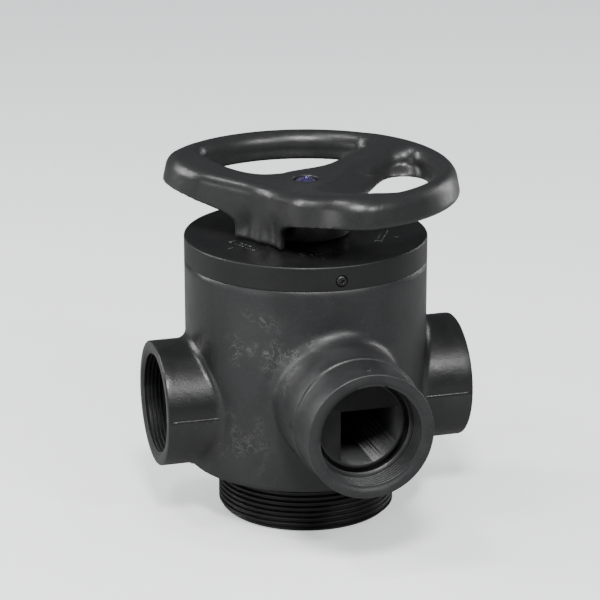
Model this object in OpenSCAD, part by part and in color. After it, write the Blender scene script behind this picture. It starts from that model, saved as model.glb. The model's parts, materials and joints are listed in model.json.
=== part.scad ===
// Manual flat-disc multiport valve for a pool or spa filter tank, in millimetres.
// The origin is on the valve's axis, at the bottom face of the tank thread. +Z is up,
// the drain port faces -Y, and the two pipe ports face -X and +X.

/* [Body] */
// Outside diameter of the body and the cap
body_d = 138.2; // [137:0.2:140]
// Height of the shoulder that rests on the tank's collar
shoulder_z = 32.1; // [31:0.1:33]
// Height of the seam between body and cap
seam_z = 149.1; // [148.5:0.1:149.5]
// Height of the cap's top face
cap_top_z = 163.1; // [162.5:0.1:163.4]

/* [Threads] */
// Outside diameter of the tank thread, 4 inch with 8 threads to the inch
tank_thread_d = 101.6; // [101:0.1:102]
// Pitch of the tank thread
tank_pitch = 3.175; // [3:0.025:3.3]
// Crest diameter of the ports' female thread, G2
port_crest_d = 56.66; // [56:0.02:57]
// Root diameter of the ports' female thread
port_root_d = 59.62; // [59:0.02:60]

/* [Ports] */
// Outside diameter of each port
port_d = 71.6; // [70.4:0.2:72]
// Distance from the axis to the mouth of each side port
side_reach = 90; // [88:0.5:92]
// Height of the side ports' axis
side_z = 69.3; // [68.5:0.1:70]
// Distance from the axis to the mouth of the drain port
drain_reach = 123.6; // [122:0.2:125]
// Height of the drain port's axis
drain_z = 84; // [83.5:0.1:84.5]
// Bore of the passage behind each port's thread
passage_d = 46.8; // [46:0.2:48]
// Depth of each port's socket, from its mouth to the passage's rim
socket_depth = 18.6; // [18:0.1:19]

/* [Riser socket] */
// Bore for the 50 mm riser pipe
riser_bore_d = 50.2; // [50.1:0.05:50.4]
// Outside diameter of the riser socket
riser_d = 64; // [63:0.5:65]

/* [Discs] */
// Diameter of the fixed ceramic disc
fixed_disc_d = 94; // [93:0.5:94]
// Diameter of the moving ceramic disc
moving_disc_d = 90; // [89:0.5:90]
// Thickness of each ceramic disc
disc_t = 10; // [9.5:0.1:10]

/* [Stem] */
// Diameter of the stem in the cap
stem_d = 26; // [25:0.5:26]
// Radial running clearance of the stem in the cap
stem_clear = 0.05; // [0.02:0.01:0.09]

/* [Handwheel] */
// Direction that the handwheel's spoke points in, with the pointer opposite
wheel_az = 30; // [28:1:32]
// Widest diameter of the handwheel
wheel_d = 175.6; // [170:0.2:176]
// Height of the rim's top
rim_top_z = 203.8; // [202:0.2:204]
// Height of the hub's top face
hub_top_z = 194.5; // [194:0.1:195]
// Height of the hub's bottom, just above the cap
hub_bottom_z = 164.3; // [164:0.1:164.8]
// Diameter of the hub
hub_d = 51; // [48:1:52]

/* [Hidden] */
$fn = 96;
eps = 0.2;
gap = 0.1;
body_r = body_d / 2;
port_r = port_d / 2;
riser_r = riser_d / 2;
passage_r = passage_d / 2;

// body
floor_top_z = 40;
plate_z = 98;
plate_top_z = 106;
chamber_r = 62;
mouth_r = 58;
neck_crest_r = 63.8;
neck_root_r = 62.6;
neck_top_z = 158.5;
neck_pitch = 3;
wall_t = 4;
base_bore_r = 43.5;
riser_cap_z = 59;
drain_core_r = 17;
drain_hole_r = 13;
divider_r = 48.6;
bypass_r = 52;
lock_z = 154.6;
lock_hole_r = 1.55;

// tank thread
tank_crest_r = tank_thread_d / 2;
tank_root_r = tank_crest_r - 0.6134 * tank_pitch;
tank_crest_flat = 0.3 * tank_pitch;
tank_root_flat = 0.2 * tank_pitch;

// window layout in the seat, the gasket and the discs: six places of 60 degrees
window_az = [for (k = [0 : 4]) 120 + 60 * k];
window_half = 24;
window_in = 20;
window_out = 40;
key_az = [90, 210, 330];
key_w = 8;

// drain window behind the drain port's thread
drain_window_x = [-11.3, 20];
drain_window_z = [62, 92.4];

// stack of discs, driver, stem and washer
gasket_t = 2.5;
fixed_z = plate_top_z + gasket_t;
moving_z = fixed_z + disc_t + 0.05;
driver_z = moving_z + disc_t + 0.45;
driver_t = 12;
driver_r = moving_disc_d / 2 + 0.4;
flange_z = driver_z + driver_t + 0.5;
flange_top_z = 146;
flange_r = 30;
plug_z = 148;
plug_r = mouth_r - 0.4;
stem_r = stem_d / 2;
stem_top_z = 186;
boss_w = 22;
spigot_w = 17;
ring_z = [150.6, 156.4];
ring_groove_w = 2.9;
ring_groove_r = stem_r - 2.4;
lug_half = 6;
travel = 120;
stop_reach = lug_half + 0.5;
insert_r = 5;
screw_r = 3;
screw_seat_z = 189.5;
screw_hole_r = 7.2;

// A ring sector between two radii, two azimuths and two heights
module sector(r0, r1, a0, a1, z0, z1) {
  rotate([0, 0, a0])
    rotate_extrude(angle = a1 - a0)
      translate([r0, z0])
        square([r1 - r0, z1 - z0]);
}

// A ring between two radii and two heights
module ring(r0, r1, z0, z1) {
  rotate_extrude()
    translate([r0, z0])
      square([r1 - r0, z1 - z0]);
}

// A closed round seal of circular section
module seal(r, section_r, z) {
  rotate_extrude()
    translate([r, z])
      circle(r = section_r, $fn = 32);
}

// Points of radius against height along a thread, as annular ridges from z0 upwards
function ridges(z0, count, pitch, crest, root, crest_flat, root_flat) = [
  for (k = [0 : count - 1], s = [0 : 3])
    let (flank = (pitch - crest_flat - root_flat) / 2)
      [
        s == 0 || s == 3 ? root : crest,
        z0 + k * pitch + [0, flank, flank + crest_flat, 2 * flank + crest_flat][s]
      ]
];

// The hollow of a port, with its axis on Z and its mouth at z = 0, opening upwards. A plain
// bore at the crest radius stands for the female thread.
module port_hollow(reach) {
  chamfer = 1;
  lip_z = socket_depth - 2.6;
  thread_end = lip_z - 1.6;
  crest_r = port_crest_d / 2;
  root_r = port_root_d / 2;
  rim_t = 1;
  groove_r = passage_r + 7.2;
  groove_end = socket_depth + 5.4;
  rotate([180, 0, 0])
    rotate_extrude()
      polygon([
        [0, -eps], [root_r + 0.9 + eps, -eps], [root_r, chamfer],
        [crest_r, chamfer + root_r - crest_r], [crest_r, thread_end], [passage_r + 2.9, lip_z],
        [groove_r, lip_z + 0.4], [groove_r, groove_end], [passage_r + rim_t, groove_end],
        [passage_r + rim_t, socket_depth], [passage_r, socket_depth], [passage_r, reach],
        [0, reach]
      ]);
}

// Places a child that opens towards +Z so that it opens at a port's mouth
module at_port(az, reach, z) {
  rotate([0, 0, az])
    translate([reach, 0, z])
      rotate([0, 90, 0])
        children();
}

module body_outside() {
  tank_ridges = floor((shoulder_z - 2.5) / tank_pitch);
  rotate_extrude()
    polygon(concat(
      [[0, 0], [tank_root_r - 0.6, 0]],
      ridges(
        1.2, tank_ridges, tank_pitch, tank_crest_r, tank_root_r, tank_crest_flat, tank_root_flat
      ),
      [[tank_root_r, shoulder_z], [body_r, shoulder_z], [body_r, seam_z], [neck_root_r, seam_z]],
      ridges(seam_z + 0.4, 3, neck_pitch, neck_crest_r, neck_root_r, 0.8, 0.8),
      [[neck_root_r - 0.4, neck_top_z], [0, neck_top_z]]
    ));
  for (az = [0, 180])
    at_port(az, 0, side_z)
      cylinder(h = side_reach, r = port_r);
  at_port(-90, 0, drain_z)
    cylinder(h = drain_reach, r = port_r - 0.5);
}

module body_hollow() {
  translate([0, 0, floor_top_z])
    cylinder(h = plate_z - floor_top_z, r = chamber_r);
  translate([0, 0, plate_top_z])
    cylinder(h = neck_top_z - plate_top_z + eps, r = mouth_r);
  ring(riser_r, base_bore_r, -eps, shoulder_z + 2);
}

// Seat, riser socket and the walls that part the flow passages
module body_inside() {
  translate([0, 0, plate_z - eps])
    cylinder(h = plate_top_z - plate_z + eps, r = chamber_r + 0.5);
  ring(fixed_disc_d / 2 + 0.3, fixed_disc_d / 2 + 2.3, plate_top_z - eps, plate_top_z + 6);
  for (a = key_az)
    rotate([0, 0, a])
      translate([fixed_disc_d / 2 - 2, -key_w / 2, plate_top_z - eps])
        cube([3, key_w, 6 + eps]);
  cylinder(h = riser_cap_z, r = riser_r);
  translate([0, 0, riser_cap_z - 1])
    cylinder(h = plate_z - riser_cap_z + 2, r = drain_core_r);
  translate([drain_window_x[0] - 3.2, -chamber_r - 2, riser_cap_z - 1.5])
    cube([
      drain_window_x[1] - drain_window_x[0] + 6.6, chamber_r + 16, plate_z - riser_cap_z + 2
    ]);
  for (a = [30, 150, 210, 330])
    rotate([0, 0, a])
      translate([drain_core_r - 2, -wall_t / 2, floor_top_z - eps])
        cube([chamber_r - drain_core_r + 2.4, wall_t, plate_z - floor_top_z + eps]);
  rotate([0, 0, 270])
    translate([riser_r - 2, -wall_t / 2, floor_top_z - eps])
      cube([chamber_r - riser_r + 2.4, wall_t, riser_cap_z - floor_top_z + 1]);
  sector(divider_r - 3, divider_r, 149, 211, floor_top_z - eps, plate_z);
  for (k = [0 : 5])
    rotate([0, 0, 60 * k])
      translate([riser_r - 1, -wall_t / 2, 9])
        cube([base_bore_r - riser_r + 2, wall_t, shoulder_z - 6]);
}

// Sector windows of the seat, the gasket and the fixed disc, and the drain hole
module windows(z0, z1, hole_z) {
  for (a = window_az)
    sector(window_in, window_out, a - window_half, a + window_half, z0, z1);
  translate([0, 0, hole_z])
    cylinder(h = z1 - hole_z, r = drain_hole_r);
}

module body_cuts() {
  // riser socket, pocket for its seal, and the way up to the windows
  translate([0, 0, -eps])
    cylinder(h = 30 + eps, r = riser_bore_d / 2);
  translate([0, 0, -eps])
    cylinder(h = 8 + eps, r = 28.9);
  translate([0, 0, 29])
    cylinder(h = riser_cap_z - 32, r = 21.5);
  for (a = [180, 300])
    rotate([0, 0, a])
      translate([10, -13, floor_top_z + 1])
        cube([riser_r - 9, 26, riser_cap_z - floor_top_z - 4]);
  // ways from the neck up to the tank passages
  sector(riser_r + 0.6, base_bore_r - 0.6, 36, 144, shoulder_z, floor_top_z + 1);
  sector(riser_r + 0.6, base_bore_r - 0.6, 216, 264, shoulder_z, floor_top_z + 1);
  // seat windows, and the inlet's way up past the discs
  windows(plate_z - 1, plate_top_z + 1, drain_window_z[0]);
  sector(bypass_r, mouth_r - 0.5, 158, 202, plate_z - 1, plate_top_z + 1);
  // side ports
  for (az = [0, 180])
    at_port(az, side_reach, side_z)
      port_hollow(side_reach - 56);
  // drain port, and its window to the middle of the seat
  at_port(-90, drain_reach, drain_z)
    port_hollow(socket_depth + 1);
  intersection() {
    at_port(-90, 0, drain_z)
      cylinder(h = drain_reach - socket_depth, r = passage_r - 0.4);
    translate([drain_window_x[0], -drain_reach, drain_window_z[0]])
      cube([
        drain_window_x[1] - drain_window_x[0],
        drain_reach,
        drain_window_z[1] - drain_window_z[0]
      ]);
  }
  // face groove for the tank seal, and the lock screw's hole
  ring(53, 57.5, shoulder_z - eps, shoulder_z + 3.3);
  at_port(-90, 60.5, lock_z)
    cylinder(h = 8, r = lock_hole_r);
}

module valve_body() {
  color("#2b2c2e")
    difference() {
      union() {
        difference() {
          body_outside();
          body_hollow();
        }
        body_inside();
      }
      body_cuts();
    }
}

module top_cap() {
  skirt_crest_r = neck_root_r + 0.4;
  skirt_root_r = neck_crest_r + 0.4;
  pocket_top_z = neck_top_z + 0.3;
  color("#1d1e20")
    difference() {
      union() {
        rotate_extrude()
          polygon([
            [0, seam_z + gap], [body_r - 0.4, seam_z + gap], [body_r, seam_z + gap + 0.4],
            [body_r, cap_top_z - 1.2], [body_r - 0.35, cap_top_z - 0.35],
            [body_r - 1.2, cap_top_z], [0, cap_top_z]
          ]);
        translate([0, 0, plug_z])
          cylinder(h = 5, r = plug_r);
        // stops for the stem's lug
        for (a = [wheel_az - stop_reach - 2 * lug_half, wheel_az + travel + stop_reach])
          sector(
            flange_r + 1, flange_r + 7, a, a + 2 * lug_half, flange_z + 0.8, plug_z + eps
          );
        // position marks: one, two and three dots
        for (mark = [0 : 2], dot = [0 : mark])
          rotate([0, 0, wheel_az + 180 + 60 * mark + 4 * (dot - mark / 2)])
            translate([body_r - 9, 0, cap_top_z - eps])
              cylinder(h = 0.5 + eps, r = 1.1);
      }
      // pocket over the body's threaded neck
      rotate_extrude()
        polygon(concat(
          [[plug_r, seam_z - 0.5], [skirt_root_r, seam_z - 0.5]],
          ridges(seam_z + 1.9, 2, neck_pitch, skirt_crest_r, skirt_root_r, 0.8, 0.8),
          [[skirt_root_r, pocket_top_z], [plug_r, pocket_top_z]]
        ));
      // stem bore and the plug's seal groove
      translate([0, 0, plug_z - eps])
        cylinder(h = 20, r = stem_r + stem_clear);
      ring(plug_r - 2.7, plug_r + eps, lock_z - 3.6, lock_z);
      // hollow under the plug, between ribs
      difference() {
        ring(39, 53, plug_z - eps, plug_z + 7);
        for (k = [0 : 11])
          rotate([0, 0, 30 * k])
            translate([38, -1.5, plug_z - 1])
              cube([16, 3, 9]);
      }
      // lock screw
      at_port(-90, body_r - 10, lock_z)
        cylinder(h = 20, r = lock_hole_r + 0.1);
      at_port(-90, body_r - 1.6, lock_z)
        cylinder(h = 20, r = 3.4);
    }
}

module cap_o_ring() {
  color("#111111")
    seal(mouth_r - 1.57, 1.5, lock_z - 1.8);
}

module cap_lock_screw() {
  head_t = 2.4;
  color("#3a3b3d")
    at_port(-90, body_r - 1.6, lock_z)
      difference() {
        union() {
          cylinder(h = head_t - 0.8, r = 3.1);
          translate([0, 0, head_t - 0.8])
            cylinder(h = 0.8, r1 = 3.1, r2 = 2.2);
          translate([0, 0, -6.6])
            cylinder(h = 6.8, r = 1.45);
        }
        for (a = [0, 90])
          rotate([0, 0, a])
            translate([-1.7, -0.35, head_t - 1])
              cube([3.4, 0.7, 2]);
      }
}

// Half of the handwheel's opening on one side of the spoke, as rounded corners joined up
module wheel_opening() {
  corner_r = 9;
  rim_in = 73.5;
  difference() {
    hull() {
      for (a = [28 : 12 : 88])
        rotate([0, 0, a])
          translate([rim_in - corner_r, 0])
            circle(r = corner_r, $fn = 32);
      translate([-8, 57])
        circle(r = 12, $fn = 32);
      translate([-9, 37])
        circle(r = 6, $fn = 32);
      translate([42, 22.5])
        circle(r = 8.5, $fn = 32);
      translate([20, 24])
        circle(r = 7, $fn = 32);
    }
    circle(r = 26, $fn = 64);
  }
}

// Height of the wheel's dished top face at radius r
function dish_z(r) = hub_top_z + (rim_top_z - hub_top_z) * pow(max(r - 11, 0) / 63, 1.15);

module wheel_disc() {
  rim_r = wheel_d / 2;
  top = [for (r = [11 : 9 : 74]) [r, dish_z(r)]];
  rotate_extrude()
    polygon(concat(
      [[0, hub_top_z - 12], [0, hub_top_z]],
      top,
      [
        [rim_r - 7, rim_top_z], [rim_r - 4.2, rim_top_z - 1.4], [rim_r - 2, rim_top_z - 5],
        [rim_r, rim_top_z - 13], [rim_r - 1, rim_top_z - 15.5], [rim_r - 4, rim_top_z - 17],
        [rim_r - 12, rim_top_z - 17], [rim_r - 14, rim_top_z - 15]
      ]
    ));
}

module handwheel() {
  flank_u = -36.5;
  flank = [
    [0, 6], [-3.7, 18], [-8.5, 28], [-11.3, 38], [-12, 48], [-12, 58], [-9.5, 66],
    [-5.5, 73], [-1.5, 77], [-13, 100], [-80, 100]
  ];
  skirt_z = [hub_bottom_z, hub_bottom_z + 13, hub_bottom_z + 24];
  skirt_half = [18, 21, 36];
  skirt_u = [-38, -37.5, -36.5];
  skirt_t = 6;
  color("#3b3c3f")
    rotate([0, 0, wheel_az])
      difference() {
        union() {
          difference() {
            wheel_disc();
            // flat side over the pointer
            translate([0, 0, hub_top_z - 20])
              linear_extrude(height = 40)
                polygon(concat(
                  [for (p = flank) [flank_u + p[0], p[1]]],
                  [for (k = [len(flank) - 1 : -1 : 0]) [flank_u + flank[k][0], -flank[k][1]]]
                ));
            for (m = [0, 1])
              mirror([0, m, 0])
                translate([0, 0, hub_top_z - 20])
                  linear_extrude(height = 40)
                    wheel_opening();
          }
          translate([0, 0, hub_bottom_z])
            cylinder(h = hub_top_z - hub_bottom_z - 4, r = hub_d / 2);
          // skirt that carries the pointer down to the cap
          for (k = [0, 1])
            hull()
              for (j = [k, k + 1])
                translate([skirt_u[j], -skirt_half[j], skirt_z[j]])
                  cube([skirt_t, 2 * skirt_half[j], 0.4]);
          translate([skirt_u[0], 0, hub_bottom_z])
            cylinder(h = 8, r = 1.6);
        }
        // socket for the stem's spigot, and the screw's seat
        translate([-spigot_w / 2 - gap, -spigot_w / 2 - gap, hub_bottom_z - 1])
          cube([spigot_w + 2 * gap, spigot_w + 2 * gap, stem_top_z - hub_bottom_z + 1 + gap]);
        cylinder(h = 250, r = screw_r + 0.3);
        translate([0, 0, screw_seat_z])
          cylinder(h = 20, r = screw_hole_r);
      }
}

module handwheel_screw() {
  head_z = screw_seat_z + 2.7;
  color("#6b4fa0")
    difference() {
      union() {
        translate([0, 0, 174])
          cylinder(h = head_z - 174 + 0.1, r = screw_r);
        intersection() {
          translate([0, 0, head_z - 6.4])
            sphere(r = 9.4);
          translate([0, 0, head_z])
            cylinder(h = 6, r = 6.3);
        }
      }
      for (a = [0, 90])
        rotate([0, 0, a + wheel_az + 20])
          translate([-3, -0.6, head_z + 1])
            cube([6, 1.2, 4]);
    }
}

module handwheel_washer() {
  color("#b9bcc0")
    ring(screw_r + 0.2, 6.8, screw_seat_z, screw_seat_z + 1.2);
}

module handwheel_spring_washer() {
  color("#8f9296")
    sector(screw_r + 0.2, 5.4, 8, 352, screw_seat_z + 1.25, screw_seat_z + 2.65);
}

module stem() {
  color("#e3e1da")
    difference() {
      union() {
        translate([0, 0, flange_z])
          cylinder(h = flange_top_z - flange_z, r = flange_r);
        sector(
          flange_r - 1, flange_r + 6, wheel_az - lug_half, wheel_az + lug_half,
          flange_z + 0.8, flange_top_z - 0.2
        );
        translate([0, 0, flange_top_z - eps])
          cylinder(h = hub_bottom_z - 0.3 - flange_top_z + eps, r = stem_r);
        rotate([0, 0, wheel_az]) {
          translate([-spigot_w / 2, -spigot_w / 2, hub_bottom_z - 1])
            cube([spigot_w, spigot_w, stem_top_z - hub_bottom_z + 1]);
          translate([-boss_w / 2, -boss_w / 2, flange_z - 6])
            cube([boss_w, boss_w, 6.5]);
        }
      }
      for (z = ring_z)
        ring(ring_groove_r, stem_r + 1, z - ring_groove_w / 2, z + ring_groove_w / 2);
      translate([0, 0, 168])
        cylinder(h = 20, r = insert_r + 0.02);
    }
}

module stem_insert() {
  color("#c9a44c")
    ring(screw_r + 0.02, insert_r, 170, stem_top_z);
}

module stem_o_rings() {
  color("#111111")
    for (z = ring_z)
      seal(stem_r - 1.2, 1.2, z);
}

module thrust_washer() {
  color("#f1efe8")
    ring(stem_r + 0.3, flange_r - 0.5, flange_top_z + 0.05, plug_z - 0.05);
}

module disc_driver() {
  color("#d9d7cf")
    difference() {
      union() {
        translate([0, 0, driver_z])
          cylinder(h = driver_t, r = driver_r);
        for (a = key_az)
          rotate([0, 0, a + 60])
            translate([moving_disc_d / 2 - 2, -key_w / 2, driver_z - 7.5])
              cube([2.3, key_w, 8]);
      }
      // socket for the stem's boss
      rotate([0, 0, wheel_az])
        translate([-boss_w / 2 - gap, -boss_w / 2 - gap, flange_z - 6.1])
          cube([boss_w + 2 * gap, boss_w + 2 * gap, 10]);
      // way in for the water, and pockets that save material
      sector(window_in, window_out - 1, 96, 144, driver_z - 1, driver_z + driver_t + 1);
      for (a = [180, 240, 300, 0, 60])
        sector(window_in, window_out, a - window_half, a + window_half, driver_z + 5, flange_z);
      // groove for the seal
      ring(40.6, 43.4, driver_z - eps, driver_z + 2.3);
    }
}

module moving_disc() {
  depth = 6;
  color("#f4f3ee")
    difference() {
      translate([0, 0, moving_z])
        cylinder(h = disc_t, r = moving_disc_d / 2);
      for (a = key_az)
        rotate([0, 0, a + 60])
          translate([moving_disc_d / 2 - 2.1, -key_w / 2 - gap, moving_z - 1])
            cube([5, key_w + 2 * gap, disc_t + 2]);
      // through window for the inlet's water
      sector(window_in, window_out, 96, 144, moving_z - 1, moving_z + disc_t + 1);
      // hollow that joins riser and outlet
      sector(window_in, window_out, -84, 24, moving_z - 1, moving_z + depth);
      // hollow that joins one window to the drain
      sector(drain_hole_r - 3, window_out, 36, 84, moving_z - 1, moving_z + depth);
      translate([0, 0, moving_z - 1])
        cylinder(h = depth + 1, r = drain_hole_r);
    }
}

module moving_disc_seal() {
  color("#161616")
    seal(42, 1.35, driver_z + 0.9);
}

// A round plate with the seat's windows and the notches for its keys
module windowed_plate(z0, t, r) {
  difference() {
    translate([0, 0, z0])
      cylinder(h = t, r = r);
    windows(z0 - 1, z0 + t + 1, z0 - 1);
    for (a = key_az)
      rotate([0, 0, a])
        translate([r - 2.2, -key_w / 2 - gap, z0 - 1])
          cube([5, key_w + 2 * gap, t + 2]);
  }
}

module fixed_disc() {
  color("#efeee8")
    windowed_plate(fixed_z, disc_t, fixed_disc_d / 2);
}

module disc_gasket() {
  color("#2a2a2a")
    windowed_plate(plate_top_z, gasket_t, fixed_disc_d / 2);
}

module base_o_ring() {
  color("#121212")
    seal(55.25, 2, shoulder_z + 1.2);
}

module riser_o_ring() {
  color("#121212")
    seal(27.05, 1.8, 6.1);
}

module riser_seal_retainer() {
  color("#26272a")
    difference() {
      ring(25.4, 28.85, 0.3, 4.2);
      for (k = [0 : 5])
        rotate([0, 0, 60 * k + 30])
          translate([27.4, -2, -1])
            cube([4, 4, 2.6]);
    }
}

valve_body();
top_cap();
cap_o_ring();
cap_lock_screw();
handwheel();
handwheel_screw();
handwheel_washer();
handwheel_spring_washer();
stem();
stem_insert();
stem_o_rings();
thrust_washer();
disc_driver();
moving_disc();
moving_disc_seal();
fixed_disc();
disc_gasket();
base_o_ring();
riser_o_ring();
riser_seal_retainer();
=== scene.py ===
"""Looks of the manual multiport valve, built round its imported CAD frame.

Shapes are worked out in millimetres in the part's own frame and scaled to metres when a mesh is
made. Z is the valve's axis, the drain port faces -Y and the side ports face -X and +X.
"""
import json
import math

import bmesh
import bpy
import numpy as np
from mathutils import Matrix, Vector, geometry


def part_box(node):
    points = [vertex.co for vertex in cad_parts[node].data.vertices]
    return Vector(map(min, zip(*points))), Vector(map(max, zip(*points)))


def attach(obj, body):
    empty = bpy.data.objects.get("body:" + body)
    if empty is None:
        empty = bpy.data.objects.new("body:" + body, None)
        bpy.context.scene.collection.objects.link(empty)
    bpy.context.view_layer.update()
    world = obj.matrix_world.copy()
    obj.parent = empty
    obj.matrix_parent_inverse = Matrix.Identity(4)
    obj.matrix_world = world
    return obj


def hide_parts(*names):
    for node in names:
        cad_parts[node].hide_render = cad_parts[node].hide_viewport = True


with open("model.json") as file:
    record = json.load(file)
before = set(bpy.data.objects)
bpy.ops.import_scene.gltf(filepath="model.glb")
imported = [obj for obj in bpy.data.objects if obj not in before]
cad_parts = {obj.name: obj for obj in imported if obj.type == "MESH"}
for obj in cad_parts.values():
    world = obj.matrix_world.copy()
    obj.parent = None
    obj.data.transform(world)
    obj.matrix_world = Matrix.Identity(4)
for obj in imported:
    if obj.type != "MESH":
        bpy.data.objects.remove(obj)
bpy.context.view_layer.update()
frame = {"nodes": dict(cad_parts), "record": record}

MM = 0.001
TAU = 2 * math.pi


# ---------------------------------------------------------------- dimensions, from the frame

def box_mm(node):
    """Low and high corner of a CAD node, in millimetres."""
    low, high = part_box(node)
    return np.array(low) / MM, np.array(high) / MM


MOUNTS = {m["name"]: m for m in frame["record"]["mounts"]}
body_low, body_high = box_mm("valve_body")
cap_high = box_mm("top_cap")[1]
wheel_low, wheel_high = box_mm("handwheel")

BODY_R = cap_high[0]
CAP_TOP = cap_high[2] - 0.5
LOCK_Z = 154.6       # height of the lock screw
LOCK_SUNK = 1.6      # how deep its seat lies in the cap's side
SEAM = 149.1         # where the cap sits on the body
SHOULDER = 32.1      # underside of the body, above the tank thread
NECK_TOP = 158.5     # top of the threaded neck inside the cap
NECK_R, NECK_CREST_R = 62.6, 63.8
SIDE_REACH = body_high[0]
DRAIN_REACH = -body_low[1]
SIDE_Z = MOUNTS["left_port"]["pos_m"][2] / MM
DRAIN_Z = MOUNTS["drain_port"]["pos_m"][2] / MM
PORT_CREST_R = MOUNTS["left_port"]["dims"]["r_mm"]
TANK_CREST_R = MOUNTS["tank_thread"]["dims"]["r_mm"]
DRAIN_AZ = -math.pi / 2
WHEEL_AZ = math.radians(30)
HUB_TOP = 194.5
RIM_TOP = wheel_high[2]
WHEEL_LOW = wheel_low[2] + 0.02
RIM_R = 84.0         # the handwheel's radius at the top
OPENING_R = 73.4     # outer radius of the openings beside its spoke
SPOKE_HALF = 12.3
HUB_R = 25.5


# ---------------------------------------------------------------- mesh helpers

def tidy_mesh(mesh, merge_mm=0.004):
    """Joins doubled points, drops collapsed faces and turns every face outwards."""
    bm = bmesh.new()
    bm.from_mesh(mesh)
    bmesh.ops.remove_doubles(bm, verts=bm.verts, dist=merge_mm * MM)
    bmesh.ops.dissolve_degenerate(bm, edges=bm.edges, dist=merge_mm * MM * 0.5)
    bmesh.ops.recalc_face_normals(bm, faces=bm.faces)
    bm.to_mesh(mesh)
    bm.free()


def new_object(name, verts, faces, matrix=None, clean=True):
    """An object from points in millimetres, with matrix applied to its mesh."""
    mesh = bpy.data.meshes.new(name)
    verts = np.asarray(verts, float) * MM
    mesh.from_pydata(verts.tolist(), [], [tuple(int(i) for i in f) for f in faces])
    if matrix is not None:
        mesh.transform(matrix)
    mesh.update()
    if clean:
        tidy_mesh(mesh)
    ob = bpy.data.objects.new(name, mesh)
    bpy.context.scene.collection.objects.link(ob)
    return ob


def smooth(ob, degrees=35, weighted=False):
    """Smooth shading with sharp edges over an angle. Weighted normals keep level faces level."""
    ob.data.shade_smooth()
    ob.data.set_sharp_from_angle(angle=math.radians(degrees))
    if weighted:
        mod = ob.modifiers.new("level", "WEIGHTED_NORMAL")
        mod.keep_sharp = True
        mod.weight = 80
    return ob


def boolean(target, tool, operation):
    """Applies one exact boolean to target at once and removes the tool."""
    mod = target.modifiers.new("bool", "BOOLEAN")
    mod.operation = operation
    mod.solver = "MANIFOLD"
    mod.object = tool
    graph = bpy.context.evaluated_depsgraph_get()
    mesh = bpy.data.meshes.new_from_object(target.evaluated_get(graph))
    target.modifiers.clear()
    old = target.data
    target.data = mesh
    mesh.name = old.name
    bpy.data.meshes.remove(old)
    bpy.data.objects.remove(tool)
    if not mesh.polygons:
        raise RuntimeError(f"{operation} left {target.name} empty")
    return target


def grid_faces(columns, rows, wrap=True):
    """Quads of a grid of points stored column after column."""
    faces = []
    for i in range(columns if wrap else columns - 1):
        a, b = i * rows, ((i + 1) % columns) * rows
        faces += [(a + j, b + j, b + j + 1, a + j + 1) for j in range(rows - 1)]
    return faces


def revolve(name, profile, count=192, matrix=None, closed=False):
    """Turns points of (radius, height) round Z. An open profile starts and ends on the axis."""
    profile = list(profile) + ([profile[0]] if closed else [])
    pr = np.array(profile, float)
    ang = np.arange(count) * TAU / count
    pts = np.empty((count, len(pr), 3))
    pts[:, :, 0] = np.cos(ang)[:, None] * pr[:, 0]
    pts[:, :, 1] = np.sin(ang)[:, None] * pr[:, 0]
    pts[:, :, 2] = pr[:, 1]
    return new_object(name, pts.reshape(-1, 3), grid_faces(count, len(pr)), matrix)


def rounded(points, radii, steps=5):
    """A profile whose corners are turned into arcs: radii maps a point's number to its radius."""
    out = []
    for i, p in enumerate(points):
        p = np.array(p, float)
        if i not in radii:
            out.append(tuple(p))
            continue
        a = np.array(points[i - 1], float) - p
        b = np.array(points[(i + 1) % len(points)], float) - p
        a, b = a / np.linalg.norm(a), b / np.linalg.norm(b)
        half = math.acos(max(-1, min(1, float(a @ b)))) / 2
        cut = radii[i] / math.tan(half)
        centre = p + (a + b) / np.linalg.norm(a + b) * radii[i] / math.sin(half)
        v0, v1 = p + a * cut - centre, p + b * cut - centre
        sweep = math.pi - 2 * half
        for k in range(steps + 1):
            t = k / steps
            w0, w1 = math.sin((1 - t) * sweep), math.sin(t * sweep)
            out.append(tuple(centre + (v0 * w0 + v1 * w1) / math.sin(sweep)))
    return out


def threaded_turn(name, before, thread, after, count=160, matrix=None):
    """A turned solid with a true helical thread between two plain stretches of its profile.

    thread is (z0, z1, pitch, shape, rest_r, lines). shape(phase) gives the radius over one pitch,
    drawn with that many lines, and the ridges fade to rest_r at z0 and z1.
    """
    z0, z1, pitch, shape, rest_r, lines = thread
    last = int(math.ceil((z1 - z0) / pitch * lines)) + 1
    ks = np.arange(-lines, last + 1)
    ang = np.arange(count) * TAU / count
    pts = []
    for a in ang:
        z = z0 + pitch * (a / TAU + ks / lines)
        fade = np.clip((z - z0) / (0.5 * pitch), 0, 1) * np.clip((z1 - z) / (0.35 * pitch), 0, 1)
        r = rest_r + (shape((ks % lines) / lines) - rest_r) * fade
        z = np.clip(z, z0, z1)
        column = list(before) + list(zip(r, z)) + list(after)
        pts.append([(q[0] * math.cos(a), q[0] * math.sin(a), q[1]) for q in column])
    rows = len(pts[0])
    faces = []
    first = len(before)
    final = first + len(ks) - 1
    for i in range(count):
        j = (i + 1) % count
        for k in range(rows - 1):
            a0, a1 = i * rows + k, i * rows + k + 1
            if j:
                b0, b1 = j * rows + k, j * rows + k + 1
            else:
                b0, b1 = (
                    min(q + lines, final) if first <= q <= final else q for q in (k, k + 1)
                )
                if k < first <= k + 1:
                    b1 = first
            faces.append((a0, b0, b1, a1))
    flat = np.array(pts).reshape(-1, 3)
    clean = [tuple(dict.fromkeys(f)) for f in faces]
    return new_object(name, flat, [f for f in clean if len(f) > 2], matrix)


def smoothstep(x):
    """0 below 0, 1 above 1, and an even rise between."""
    x = np.clip(x, 0, 1)
    return x * x * (3 - 2 * x)


# ---------------------------------------------------------------- valve body

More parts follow.
